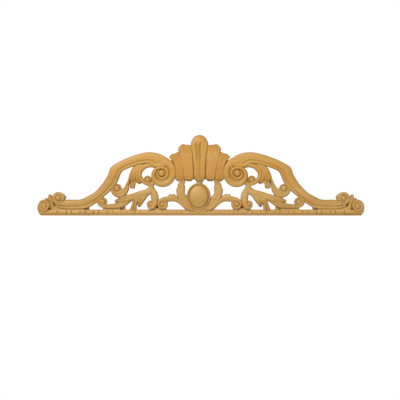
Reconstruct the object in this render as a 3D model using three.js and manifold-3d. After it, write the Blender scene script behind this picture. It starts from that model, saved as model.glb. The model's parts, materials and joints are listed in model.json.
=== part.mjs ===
// A carved wooden pediment applique: one board, pierced and carved from the front, flat at the back.
// A shell stands over an oval boss in the middle. An S-scroll arm runs out to each side, with one spray of
// acanthus under its arch and another under that, and all of it grows from one straight rail with a small
// scroll at each end. Frame: X along the rail, Z up, the carved front faces -Y. The origin is the middle
// of the flat back. Millimetres.
import * as THREE from "three";
import { mergeVertices } from "three/addons/utils/BufferGeometryUtils.js";
import Module from "manifold-3d";

// Overall sizes
const length = 600; // over the two end scrolls
const railHeight = 11;
const railDepth = 12;

// Thickness of the wood under each carved part, from the back to its highest line
const armDepth = 17;
const voluteDepth = 18;
const eyeDepth = 18.5;
const shellDepth = 21;
const middleLobeDepth = 19.5;
const outerLobeDepth = 18;
const leafDepth = 15.5;
const stemDepth = 14;
const ballDepth = 16;
const bossDepth = 19;
const ringDepth = 15;
const endScrollDepth = 15.5;
const endEyeDepth = 17;
const groundDepth = 12; // under the eyes of the small scrolls and between the leaves
const webDepth = 8; // where a plain bit of the board joins two forms
const seatDepth = 11; // where the arm and the lower stem sit down on the rail

// How deep the carver cut: the fall from a crest to its edges
const armFall = 3;
const leafFall = 3.2;
const lobeFall = 3.5;
const ballFall = 3;

// The oval boss and its ring
const bossWidth = 35;
const bossHeight = 42.6;
const ringSide = 4.5; // from the boss out to the ring's edge, at the sides
const ringEnd = 3; // and above and below
const ringFloor = 12.5; // wood left in the groove between them
const bossAside = 1.6; // both were carved this much left of the shell's middle

// The carver set out the middle this much left of the rail's middle, and made it up along the arms
const middleAside = 2.5;
const asideLeft = [40, 85]; // from and to, in squares out from the middle
const asideRight = [60, 115];

// The beaded face of the rail, between an upper chamfer and a lower fillet
const beadHeight = 6.8;
const beadGroove = 1;
const chamfer = 1.2;
const notchPeriod = 25.3; // one long tablet and one short one
const shortTablet = 9.2;
const firstNotch = 9.9;
const notchWidth = 2.6;
const notchCut = 1.8;

// The scrollwork is drawn on squared paper: its points are [across from the middle, up from the rail]
// in squares, and half the applique is this many squares long.
const halfSquares = 163.7;
const crestSquares = 74.7;
const square = length / 2 / halfSquares;
const overallHeight = railHeight + crestSquares * square;
const railTopZ = railHeight - overallHeight / 2;
const bossMiddle = railTopZ + bossHeight / 2 + ringEnd;
const railHalf = 160 * square;
const beadedHalf = 146 * square; // the bead ends under the end scrolls
const behind = 2; // every solid starts this far behind the back, and is planed off flat with it

const { lerp, clamp, degToRad, smoothstep } = THREE.MathUtils;

const wasm = await Module();
wasm.setup();

const paper = (x, z) => new THREE.Vector2(x * square, railTopZ + z * square);

// A closed geometry as a solid that can be joined and cut.
function solid(geometry) {
  const bare = new THREE.BufferGeometry();
  bare.setAttribute("position", geometry.attributes.position);
  bare.setIndex(geometry.index);
  const merged = mergeVertices(bare, 1e-4);
  return new wasm.Manifold(
    new wasm.Mesh({
      numProp: 3,
      vertProperties: new Float32Array(merged.attributes.position.array),
      triVerts: new Uint32Array(merged.index.array),
    }),
  );
}

function geometryOf(made) {
  const mesh = made.getMesh();
  const geometry = new THREE.BufferGeometry();
  geometry.setAttribute("position", new THREE.BufferAttribute(new Float32Array(mesh.vertProperties), 3));
  geometry.setIndex(new THREE.BufferAttribute(new Uint32Array(mesh.triVerts), 1));
  return geometry;
}

const joined = (solids) => solids.reduce((sum, one) => sum.add(one));

function turnedInsideOut(geometry) {
  const corners = geometry.index.array;
  for (let i = 0; i < corners.length; i += 3) {
    [corners[i + 1], corners[i + 2]] = [corners[i + 2], corners[i + 1]];
  }
  return geometry;
}

const mirrored = (made) => solid(turnedInsideOut(geometryOf(made).scale(-1, 1, 1)));

// Cross-sections of a carved band: [share across from one edge to the other, share of the fall].
const plain = [[0, 0], [1, 0]];
const rounded = [[0, 1], [0.28, 0.1], [0.72, 0.1], [1, 1]];
const veined = [[0, 1], [0.24, 0.1], [0.5, 0.5], [0.76, 0.1], [1, 1]];
const beaded = [[0, 1], [0.16, 0.1], [0.62, 0.1], [0.73, 0.95], [0.86, 0.2], [1, 0.9]];
const rolled = [[0, 1], [0.14, 0.25], [0.24, 0.5], [0.34, 0.1], [0.68, 0.3], [1, 1.5]];
const fluted = [[0, 1], [0.17, 0.3], [0.34, 0.5], [0.5, 0], [0.66, 0.5], [0.83, 0.3], [1, 1]];
const level = [[0, 0.7], [0.17, 0.2], [0.34, 0.06], [0.5, 0], [0.66, 0.06], [0.83, 0.2], [1, 0.7]];
const domed = [[0, 1], [0.17, 0.45], [0.34, 0.12], [0.5, 0], [0.66, 0.12], [0.83, 0.45], [1, 1]];

// The value at a share of the way along a list of evenly spaced values.
function along(values, share) {
  if (values.length === 1) return values[0];
  const place = share * (values.length - 1);
  const low = Math.min(Math.floor(place), values.length - 2);
  return lerp(values[low], values[low + 1], place - low);
}

// The value at x on a smooth line through [x, value] pairs.
function smooth(pairs, x) {
  const last = pairs.length - 1;
  const i = clamp(pairs.findIndex(([place]) => place > x) - 1, 0, last - 1);
  if (x >= pairs[last][0]) return pairs[last][1];
  const slope = (k) => {
    const [before, after] = [pairs[Math.max(k - 1, 0)], pairs[Math.min(k + 1, last)]];
    return (after[1] - before[1]) / (after[0] - before[0]);
  };
  const [[x0, y0], [x1, y1]] = [pairs[i], pairs[i + 1]];
  const run = x1 - x0;
  const t = clamp((x - x0) / run, 0, 1);
  const rise = t * t * (3 - 2 * t);
  return lerp(y0, y1, rise) + run * (slope(i) * t * (1 - t) ** 2 - slope(i + 1) * t * t * (1 - t));
}

const curveThrough = (points) =>
  new THREE.CatmullRomCurve3(
    points.map(([x, y, z = 0]) => new THREE.Vector3(x, y, z)), false, "catmullrom");

// A closed solid between two edges. Each station is { a, b, crest, fall, section }: a point of each edge,
// the depth of the crest between them, how far the edges lie under it, and the section across.
function band(stations) {
  const columns = stations[0].section.length;
  const rows = stations.length;
  const front = [];
  const back = [];
  for (const { a, b, crest, fall, section } of stations) {
    for (const [share, depth] of section) {
      const spot = a.clone().lerp(b, share);
      front.push(spot.x, -(crest - depth * fall), spot.y);
      back.push(spot.x, behind, spot.y);
    }
  }
  const count = rows * columns;
  const corners = [];
  const quad = (p, q, r, s) => corners.push(p, q, r, p, r, s);
  for (let row = 0; row < rows - 1; row++) {
    const first = row * columns;
    const last = first + columns - 1;
    for (let p = first; p < last; p++) {
      quad(p, p + 1, p + 1 + columns, p + columns);
      quad(count + p, count + p + columns, count + p + 1 + columns, count + p + 1);
    }
    quad(first, first + columns, count + first + columns, count + first);
    quad(last, count + last, count + last + columns, last + columns);
  }
  for (let p = 0; p < columns - 1; p++) {
    const end = count - columns + p;
    quad(p, count + p, count + p + 1, p + 1);
    quad(end, end + 1, count + end + 1, count + end);
  }
  const geometry = new THREE.BufferGeometry();
  geometry.setAttribute("position", new THREE.Float32BufferAttribute([...front, ...back], 3));
  geometry.setIndex(corners);
  const made = solid(geometry);
  return made.volume() > 0 ? made : solid(turnedInsideOut(geometry));
}

// A band along a spine of [x, z, half width] points.
function strand({ spine, steps, crest, fall = leafFall, section = veined }) {
  const curve = curveThrough(spine);
  const stations = [];
  for (let i = 0; i <= steps; i++) {
    const spot = curve.getPoint(i / steps);
    const heading = curve.getTangent(i / steps);
    const sideways = new THREE.Vector2(-heading.y, heading.x).normalize();
    const half = Math.max(spot.z, 0.15);
    stations.push({
      a: paper(spot.x + sideways.x * half, spot.y + sideways.y * half),
      b: paper(spot.x - sideways.x * half, spot.y - sideways.y * half),
      crest: along(crest, i / steps),
      fall: Math.min(fall, half * square),
      section,
    });
  }
  return band(stations);
}

// A band between two edges, given as [x, z, x, z] pairs of points.
function between({ edges, steps, crest, fall, sections }) {
  const curveA = curveThrough(edges.map(([x, z]) => [x, z]));
  const curveB = curveThrough(edges.map(([, , x, z]) => [x, z]));
  const stations = [];
  for (let i = 0; i <= steps; i++) {
    const share = i / steps;
    const [a, b] = [curveA.getPoint(share), curveB.getPoint(share)];
    const section = sections[0].map(([place, depth], k) => [
      along(sections.map((one) => one[k][0]), share),
      along(sections.map((one) => one[k][1]), share),
    ]);
    stations.push({ a: paper(a.x, a.y), b: paper(b.x, b.y), crest: along(crest, share), fall, section });
  }
  return band(stations);
}

// A band that winds round an eye. Angles are degrees from straight up, towards the middle of the
// applique. outer and inner are [angle, radius] pairs; with no inner, each turn ends on the next one.
function scroll({ eye, outer, inner, from, to, steps, crest, fall, section }) {
  const turnOverlap = 0.3;
  const stations = [];
  for (let i = 0; i <= steps; i++) {
    const degrees = lerp(from, to, i / steps);
    const angle = degToRad(degrees);
    const reach = (radius) => paper(eye[0] - radius * Math.sin(angle), eye[1] + radius * Math.cos(angle));
    const inside = inner ? smooth(inner, degrees) : smooth(outer, degrees + 360) - turnOverlap;
    stations.push({
      a: reach(smooth(outer, degrees)),
      b: reach(inside),
      crest: along(crest, i / steps),
      fall,
      section,
    });
  }
  const perPiece = 6; // cut into short solids, so that none of them winds over itself
  const pieces = [];
  for (let start = 0; start < steps; start += perPiece) {
    pieces.push(band(stations.slice(start, start + perPiece + 1)));
  }
  return joined(pieces);
}

// A round button with a domed face, on a wider patch of the ground that the carver left under it.
function ball([x, z], radius, crest, ground) {
  const size = radius * square;
  const patch = ground * square;
  const profile = [
    [0, -behind], [patch, -behind], [patch, groundDepth], [size, groundDepth], [size, crest - ballFall],
    [size * 0.66, crest - ballFall * 0.3], [0, crest],
  ].map(([r, h]) => new THREE.Vector2(r, h));
  const spot = paper(x, z);
  return solid(new THREE.LatheGeometry(profile, 7).rotateX(Math.PI).translate(spot.x, 0, spot.y));
}

// A plain block of the board, between two corners in squares, as thick as depth.
function web([x0, z0], [x1, z1], depth) {
  const [low, high] = [paper(x0, z0), paper(x1, z1)];
  const [across, up, thick] = [high.x - low.x, high.y - low.y, depth + behind];
  const geometry = new THREE.BoxGeometry(across, thick, up);
  return solid(geometry.translate(low.x + across / 2, behind - thick / 2, low.y + up / 2));
}

// The S-scroll arm: its broad face, the bead along its lower edge and the volute that it winds into.
const voluteEye = [37.9, 36.4];
const voluteOuter = [
  [-335, 16], [-275, 14.4], [-185, 14], [-150, 13.2], [-105, 11], [-70, 9.3], [0, 7.3], [60, 8],
  [145, 7.4], [223, 6.9], [312, 4.3], [364, 3.6], [440, 4], [530, 3.4], [700, 3],
];

function arm() {
  const edges = [
    [146.6, 10.6, 147.6, 8.4], [144.4, 8.2, 145.4, 4.4], [140.6, 8.2, 141.6, 2.4], [134.5, 9.8, 136, 0.6],
    [121, 10.1, 124, 0.5], [114, 13.1, 113.2, 1.8],
    [107.5, 16.6, 103, 8.2], [102, 21.8, 96.3, 13.8], [97.6, 27.2, 90.4, 19.2], [93.2, 34.5, 84.4, 26.6],
    [91.2, 40.2, 80.6, 35.6], [89.2, 43.2, 78.2, 38.8], [80.8, 48.3, 73.2, 41.2], [70.5, 52.7, 66, 43.7],
    [60.2, 55.9, 58, 45.6], [49.9, 57.4, 50.4, 45.8], [39.6, 55.5, 45.4, 43.2], [31.1, 50.9, 36, 41.6],
  ];
  const face = between({
    edges, steps: 17, crest: [13, 14, 14.5, 16, armDepth, armDepth, armDepth, voluteDepth], fall: armFall,
    sections: [beaded, beaded, beaded, beaded, beaded, beaded, beaded, beaded, rolled],
  });
  const volute = scroll({
    eye: voluteEye, outer: voluteOuter, from: -341, to: 320, steps: 20,
    crest: [voluteDepth, voluteDepth, 17, 16, 15.5, 16], fall: armFall, section: rolled,
  });
  return joined([face, volute, ball(voluteEye, 3, eyeDepth, 5)]);
}

// Where the arm's lower edge curls over a button at its outer end.
function armEnd() {
  const eye = [143, 11.6];
  const curl = scroll({
    eye, from: -213, to: 110, steps: 9,
    outer: [[-213, 12.7], [-173, 8.6], [-147, 6.5], [-112, 5.4], [-30, 4.9], [22, 5.3], [53, 6.4], [85, 7.7],
      [110, 6.5]],
    inner: [[-213, 9.2], [-173, 6.2], [-147, 4.4], [-112, 3.4], [-30, 2.8], [110, 2.6]],
    crest: [14, 14.5, endScrollDepth, 14], fall: armFall, section: rounded,
  });
  const recess = web([112, -1], [118, 2.6], webDepth);
  return joined([curl, ball(eye, 2.8, ballDepth, 6), web([117, -1], [150, 3.4], seatDepth), recess]);
}

// The small scroll that closes the end of the rail, and the tuft of leaves behind it.
function endScroll() {
  const eye = [157, 3.1];
  const coil = scroll({
    eye, from: -158, to: 250, steps: 12,
    outer: [[-158, 9.4], [-110, 7.1], [-60, 6.3], [0, 6.9], [60, 6.6], [107, 5.2], [160, 4.2], [250, 3]],
    inner: [[-158, 4.4], [0, 4.3], [60, 4], [107, 2.2], [250, 1.6]],
    crest: [railDepth, endScrollDepth, endScrollDepth, 14], fall: 2.5, section: rounded,
  });
  const tall = strand({
    spine: [[149, 1.5, 2.4], [149.6, 7, 2.2], [151, 12, 2.1], [151.8, 15.2, 1]], steps: 5,
    crest: [12, 14, 13.5, 12],
  });
  const low = strand({
    spine: [[149.6, 5, 1.6], [152.4, 9.4, 1.6], [156, 10.8, 0.8]], steps: 4, crest: [12, 13.5, 12],
  });
  const backing = web([142, -1], [157, 8], webDepth);
  return joined([coil, ball(eye, 2.5, endEyeDepth, 5), tall, low, backing]);
}

// The acanthus spray that springs from the volute and fills the arch.
function upperSpray() {
  const stem = strand({
    spine: [[41.5, 42.4, 1.6], [45.2, 43.7, 1.9], [50, 44.5, 2.2], [55.2, 43.4, 2.5], [59.4, 39.8, 2.6],
      [60.7, 35.4, 2.1], [59.2, 31.4, 1.8], [56.6, 28, 2], [53, 26, 1.9], [49.2, 25, 1.7]],
    steps: 9, crest: [14, leafDepth, leafDepth, leafDepth, 14], section: rounded,
  });
  const long = strand({
    spine: [[60.6, 45.2, 2.2], [65.9, 40.9, 2.3], [69.6, 35.4, 1.5], [71.8, 29.4, 1.1], [73.4, 24.6, 1.7],
      [75, 20, 2.9], [79.2, 16, 4], [84, 15.4, 3], [87.6, 17.8, 2.2], [88.4, 21.6, 1.6], [86.4, 25, 1.3]],
    steps: 11, crest: [14, leafDepth, leafDepth, leafDepth, 15], section: veined,
  });
  const middle = strand({
    spine: [[64.4, 43.6, 2], [66.4, 37.6, 2.9], [67.6, 31.8, 3.5], [67.6, 27.2, 2]], steps: 4,
    crest: [14, leafDepth, leafDepth, 14.5], section: veined,
  });
  const under = strand({
    spine: [[67.2, 33, 2.4], [68, 27, 3], [68.5, 21, 2.6]], steps: 3, crest: [12.5, 13.5, 12.5], section: veined,
  });
  const inner = strand({
    spine: [[60.6, 44.6, 2.2], [62.2, 38.4, 2.9], [62, 31.6, 3.1], [60.2, 25.6, 2.4]], steps: 5,
    crest: [14, 14.5, leafDepth, 13.5], section: veined,
  });
  const ground = strand({
    spine: [[36.5, 42.6, 2.6], [45, 45.4, 2.4], [52, 46, 2.4], [60, 44, 3.4], [65.4, 36, 4.6], [66, 30, 4.4],
      [66, 26.6, 2]],
    steps: 6, crest: [groundDepth], section: plain,
  });
  const root = strand({
    spine: [[45, 30, 3], [49.6, 27.4, 3], [54, 27.6, 2]], steps: 2, crest: [groundDepth], section: plain,
  });
  const curls = [ball([84, 21.4], 3.1, ballDepth, 4.4), ball([52.2, 29.8], 2.8, ballDepth, 4.2)];
  return joined([stem, long, middle, under, inner, ground, root, ...curls]);
}

// The spray below it, from the foot of the volute along the rail.
function lowerSpray() {
  const neck = strand({
    spine: [[45.6, 28, 2.6], [48.4, 24.6, 2.4], [48, 20.5, 2.8], [45.8, 16, 3.5], [44.9, 11.4, 3.8],
      [45, 6.6, 3.2], [46.6, 2.8, 2.4], [49.6, 1.6, 1.7], [52, 3.6, 1], [52, 6.6, 0.8], [49.8, 8, 0.8]],
    steps: 11, crest: [15, stemDepth, leafDepth, leafDepth, 14], section: rounded,
  });
  const blade = strand({
    spine: [[48.6, 21.6, 2.8], [53, 17, 3.5], [60.2, 15.2, 3.4], [67.4, 12.8, 3.3], [74.7, 10.8, 3.5],
      [80.8, 9.3, 2.9], [86.4, 8, 1.2]],
    steps: 6, crest: [stemDepth, leafDepth, leafDepth, leafDepth, 12.5], section: veined,
  });
  const hanging = strand({
    spine: [[53.4, 16.6, 2.6], [57.6, 11, 3], [60.4, 6.8, 2.7], [61.4, 2.4, 1.5]],
    steps: 4, crest: [14, leafDepth, 14, 12.5], section: veined,
  });
  const foot = strand({
    spine: [[60, 13.6, 2.8], [64.2, 9.6, 3.1], [66.3, 5, 2.6], [67.4, -1, 3.7]],
    steps: 4, crest: [14, leafDepth, 14, 13], section: veined,
  });
  const trailing = strand({
    spine: [[67, 12.4, 2], [72.6, 9.2, 2.8], [78.8, 5.4, 3.2], [85, 3.8, 2.7], [92, 3.2, 2.2], [97.6, 3.5, 2],
      [101.4, 5.4, 1.8], [102.4, 8.6, 1.6], [99.8, 11.2, 1.5]],
    steps: 9, crest: [13, leafDepth, 14.5, 14.5], section: veined,
  });
  const webs = [web([75.6, -1], [82, 3], webDepth), web([80.6, -1], [98.6, 3], seatDepth)];
  const curls = [ball([49.4, 5.4], 2.4, ballDepth, 3.8), ball([98.6, 7.6], 3.1, ballDepth, 4.6)];
  return joined([neck, blade, hanging, foot, trailing, ...webs, ...curls]);
}

// The C-scroll from the boss to a small volute, and the upright leaf that joins the shell to it.
function innerSpray() {
  const cScroll = between({
    edges: [
      [16, 5.6, 13.8, -0.6], [19.4, 9.6, 18, 3.6], [22.8, 13.4, 21.6, 6.5], [26, 15.8, 25.2, 8],
      [27.9, 15, 27.1, 8.1], [30.2, 15.7, 28.9, 8], [31.4, 13.5, 30.8, 7.8], [35.2, 12.7, 33.6, 7.7],
      [38.8, 11.3, 36.6, 8.2], [41.6, 8.8, 39, 7.2],
      [42.4, 5, 39.8, 4.9], [40.6, 1.4, 38.6, 3], [37, 0.2, 36.8, 2.6], [33.4, 1, 35, 3.6],
      [31.8, 4.2, 34.6, 5.4], [32, 8.2, 35.4, 7.4],
    ],
    steps: 15, crest: [14, leafDepth, leafDepth, leafDepth, 14.5], fall: leafFall, sections: [rounded],
  });
  const upright = strand({
    spine: [[16.4, 32, 2.8], [17.1, 26.9, 2.3], [18.1, 25.1, 3.5], [18.4, 21, 3.9], [18.9, 19.2, 4.5],
      [18.7, 15.4, 4.1], [16.5, 10.4, 5], [13.7, 5.6, 4.4], [10.2, 1.8, 3], [6.6, -0.6, 1.6]],
    steps: 9, crest: [15, stemDepth, leafDepth, leafDepth, leafDepth, 14], section: veined,
  });
  const foot = web([40, -1], [46.4, 7.4], webDepth);
  const seat = web([33.4, -1], [47, 1.4], seatDepth);
  const root = strand({
    spine: [[14, 13.4, 2], [12.4, 7.6, 3.4], [8.6, 3, 3.4], [-1, 0, 2.6]], steps: 4,
    crest: [groundDepth + 1], section: plain,
  });
  return joined([cScroll, upright, foot, seat, root, ball([37.2, 5.3], 2.5, ballDepth, 4.4)]);
}

// The two outer lobes of the shell on one side.
function sideLobes() {
  const inner = between({
    edges: [
      [12.6, 28.2, 8.4, 28.4], [15, 30.4, 6.2, 30.6], [16, 33.6, 5.8, 33.6], [16.8, 40, 6, 40],
      [18.6, 49, 6.4, 49], [20.6, 56, 6.9, 56], [21.5, 60, 7.6, 61.4], [20.4, 62.6, 8.2, 63.6],
      [18.6, 64.6, 10.6, 64.7], [16.4, 65.6, 13.2, 64.6],
    ],
    steps: 10, crest: [15, 18.5, middleLobeDepth, middleLobeDepth, 17.5, 14], fall: lobeFall,
    sections: [domed, level, fluted, fluted],
  });
  const outer = between({
    edges: [
      [22, 28.2, 18, 28.2], [24.4, 30.6, 16, 30.4], [25, 34, 15.8, 34], [24.6, 40, 16.6, 40], [26, 46, 18, 49],
      [29, 50.6, 19.6, 55.4], [30.4, 52.6, 21, 57.6], [29, 54.6, 23.4, 56.8], [27.2, 55.8, 25.4, 56.2],
    ],
    steps: 8, crest: [14, 17, outerLobeDepth, outerLobeDepth, 16, 13], fall: lobeFall,
    sections: [domed, level, fluted, fluted],
  });
  const ground = between({
    edges: [[24, 30.4, 0, 30.4], [28, 43, 0, 43], [28, 50, 0, 50], [20, 58, 0, 62]],
    steps: 3, crest: [groundDepth + 1], fall: 0, sections: [plain],
  });
  return joined([inner, outer, ground]);
}

// The tall lobe in the middle of the shell, down to its neck on the ring.
function middleLobe() {
  const neckFoot = (bossMiddle - railTopZ) / square; // runs down into the boss
  const halves = [
    [neckFoot, 3], [26.6, 3], [30, 4.8], [34, 5.7], [45, 6.2], [54, 7.2], [61, 8.5], [66, 8.8], [69.6, 7.4],
    [72.2, 5.8], [73.8, 3.4], [crestSquares, 0.8],
  ];
  return between({
    edges: halves.map(([z, half]) => [half, z, -half, z]), steps: 14,
    crest: [12, 14, 18.5, 20.5, shellDepth, shellDepth, 19, 15], fall: lobeFall,
    sections: [domed, level, fluted, domed],
  });
}

// An oval button, turned round and then stretched to its width and height.
function oval(profile, width, height, sides) {
  const points = profile.map(([share, depth]) => new THREE.Vector2(share, depth));
  const geometry = new THREE.LatheGeometry(points, sides).rotateX(Math.PI);
  return solid(geometry.scale(width / 2, 1, height / 2).translate(-bossAside, 0, bossMiddle));
}

// The plain domed boss and the ring round it.
function boss() {
  const ring = [
    [0, -behind], [1, -behind], [1, ringDepth - 2.2], [0.94, ringDepth], [0.89, ringDepth - 0.2],
    [0.82, ringFloor], [0, ringFloor],
  ];
  const dome = [
    [0, -behind], [1, -behind], [1, ringFloor + 0.5], [0.9, bossDepth - 2], [0.55, bossDepth - 0.3],
    [0, bossDepth],
  ];
  return joined([
    oval(ring, bossWidth + 2 * ringSide, bossHeight + 2 * ringEnd, 16),
    oval(dome, bossWidth, bossHeight, 16),
  ]);
}

// The straight rail: a lower fillet, a groove, the swelling bead and a chamfer at the top.
function rail() {
  const filletHeight = railHeight - chamfer - beadHeight - beadGroove;
  const beadFoot = filletHeight + beadGroove;
  const beadHead = beadFoot + beadHeight;
  const profile = [
    [-behind, 0], [railDepth - 1.4, 0], [railDepth - 0.7, 0.7], [railDepth - 0.7, filletHeight],
    [railDepth - 2, filletHeight + beadGroove / 2], [railDepth - 1, beadFoot],
    [railDepth, (beadFoot + beadHead) / 2], [railDepth - 1, beadHead],
    [railDepth - 1 - chamfer, railHeight], [-behind, railHeight],
  ];
  const shape = new THREE.Shape(profile.map(([depth, height]) => new THREE.Vector2(depth, height)));
  const run = 2 * railHalf;
  const bar = new THREE.ExtrudeGeometry(shape, { depth: run, bevelEnabled: false, steps: 1 });
  bar.rotateX(Math.PI / 2).rotateZ(-Math.PI / 2).translate(railHalf, 0, railTopZ - railHeight);
  return solid(bar);
}

// The V-cuts that part the bead into long and short tablets, from the middle out to both ends.
function notches() {
  const reach = 1;
  const halfBase = (notchWidth / 2) * (1 + reach / notchCut);
  const vee = new THREE.Shape([
    new THREE.Vector2(-halfBase, -reach), new THREE.Vector2(halfBase, -reach), new THREE.Vector2(0, notchCut),
  ]);
  const places = [];
  for (let x = firstNotch; x < beadedHalf; x += notchPeriod) {
    places.push(x, x + shortTablet, -x, -x - shortTablet);
  }
  return joined(places.map((x) => {
    const cut = new THREE.ExtrudeGeometry(vee, { depth: beadHeight, bevelEnabled: false });
    return solid(cut.translate(x, -railDepth, railTopZ - chamfer - beadHeight));
  }));
}

// Moves the middle of the carving aside, and less and less of it along the arms.
function setOutByHand(made) {
  const geometry = geometryOf(made);
  const places = geometry.attributes.position;
  for (let i = 0; i < places.count; i++) {
    const x = places.getX(i);
    const [from, to] = x < 0 ? asideLeft : asideRight;
    const share = smoothstep(Math.abs(x) / square, from, to);
    places.setX(i, x - middleAside * (1 - share));
  }
  return solid(geometry);
}

function carving() {
  const half = joined([arm(), armEnd(), endScroll(), upperSpray(), lowerSpray(), innerSpray(), sideLobes()]);
  const backPlane = new THREE.BoxGeometry(1.2 * length, 4 * behind, 1.5 * overallHeight);
  return setOutByHand(joined([half, mirrored(half), middleLobe(), boss()]))
    .add(rail().subtract(notches()))
    .subtract(solid(backPlane.translate(0, 2 * behind, 0)));
}

const wood = new THREE.MeshStandardMaterial({ color: "#cf9a54", roughness: 0.55, metalness: 0 });
const board = new THREE.Mesh(geometryOf(carving()), wood);
board.name = "carved_pediment";

const applique = new THREE.Group();
applique.add(board);
export default applique;
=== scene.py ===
import json
import math

import bmesh
import bpy
import numpy as np
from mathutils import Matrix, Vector
from mathutils.bvhtree import BVHTree

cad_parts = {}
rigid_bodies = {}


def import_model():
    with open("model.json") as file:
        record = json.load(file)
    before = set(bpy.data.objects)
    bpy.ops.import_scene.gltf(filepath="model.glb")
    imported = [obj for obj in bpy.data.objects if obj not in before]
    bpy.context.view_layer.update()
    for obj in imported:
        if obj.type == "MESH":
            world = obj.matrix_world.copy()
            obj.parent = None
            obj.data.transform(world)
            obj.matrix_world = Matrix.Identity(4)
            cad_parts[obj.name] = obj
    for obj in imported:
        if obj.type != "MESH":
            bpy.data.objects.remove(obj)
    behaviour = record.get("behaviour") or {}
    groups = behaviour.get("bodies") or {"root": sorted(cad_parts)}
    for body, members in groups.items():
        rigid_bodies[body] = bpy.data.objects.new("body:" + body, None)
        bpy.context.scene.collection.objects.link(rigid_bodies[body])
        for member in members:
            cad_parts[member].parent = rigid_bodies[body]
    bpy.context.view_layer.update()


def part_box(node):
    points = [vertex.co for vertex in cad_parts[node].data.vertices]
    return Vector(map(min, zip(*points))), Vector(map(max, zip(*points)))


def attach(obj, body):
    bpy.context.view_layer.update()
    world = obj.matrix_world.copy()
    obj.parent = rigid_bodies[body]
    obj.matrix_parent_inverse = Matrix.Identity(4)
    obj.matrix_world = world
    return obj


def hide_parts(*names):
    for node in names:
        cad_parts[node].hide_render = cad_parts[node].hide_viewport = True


# A carved wooden pediment applique: the solid's own drawing, cut finer and given its wood.

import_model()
cadLow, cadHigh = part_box("carved_pediment")
mm = 0.001
print("frame loaded, box in mm", [round(side / mm, 1) for side in cadHigh - cadLow])

# The camera looks straight at the carved front
shot = {
    "lens": 135,  # mm
    "spans": 0.733,  # metres of the front that the picture is wide
    "middle": (-0.00174, -0.0454),  # what is in the middle of the picture
    "depth": 0.012,  # how far before the back those metres are measured
}
camera = bpy.data.objects.new("camera", bpy.data.cameras.new("camera"))
bpy.context.scene.collection.objects.link(camera)
camera.data.lens = shot["lens"]
distance = shot["spans"] * shot["lens"] / camera.data.sensor_width
camera.location = (shot["middle"][0], -shot["depth"] - distance, shot["middle"][1])
camera.rotation_euler = (math.radians(90), 0, 0)
bpy.context.scene.camera = camera

# The drawing is on squared paper: points are (across from the middle, up from the rail) in squares
paper = {
    "halfSquares": 163.7,  # half the length
    "crestSquares": 74.7,  # the shell's top
    "railHeight": 11 * mm,
    "behind": 2 * mm,  # forms start behind the back and are planed off flat with it
}
square = (cadHigh.x - cadLow.x) / 2 / paper["halfSquares"]
railTop = cadLow.z + paper["railHeight"]
behind = paper["behind"]

# Wood under each form, from the back to its highest line
depth = {
    "rail": 12 * mm,
    "arm": 17 * mm,
    "volute": 18 * mm,
    "eye": 18.5 * mm,
    "shell": 21 * mm,
    "middleLobe": 19.5 * mm,
    "outerLobe": 18 * mm,
    "leaf": 15.5 * mm,
    "stem": 14 * mm,
    "ball": 16 * mm,
    "curl": 15.5 * mm,  # the rolled end of a leaf
    "boss": 19 * mm,
    "ring": 15 * mm,
    "endScroll": 15.5 * mm,
    "endEye": 17 * mm,
    "ground": 12 * mm,
    "shellGround": 13 * mm,  # behind the shell and its neck
    "eyeGround": 14 * mm,  # under the eye of a scroll
    "web": 8 * mm,
    "seat": 11 * mm,  # where the arm and the lower stem sit down on the rail
}

# How far the edges of each form lie below its highest line
fall = {"arm": 3 * mm, "leaf": 3.2 * mm, "lobe": 3.5 * mm, "ball": 3 * mm, "coil": 2.5 * mm}

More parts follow.
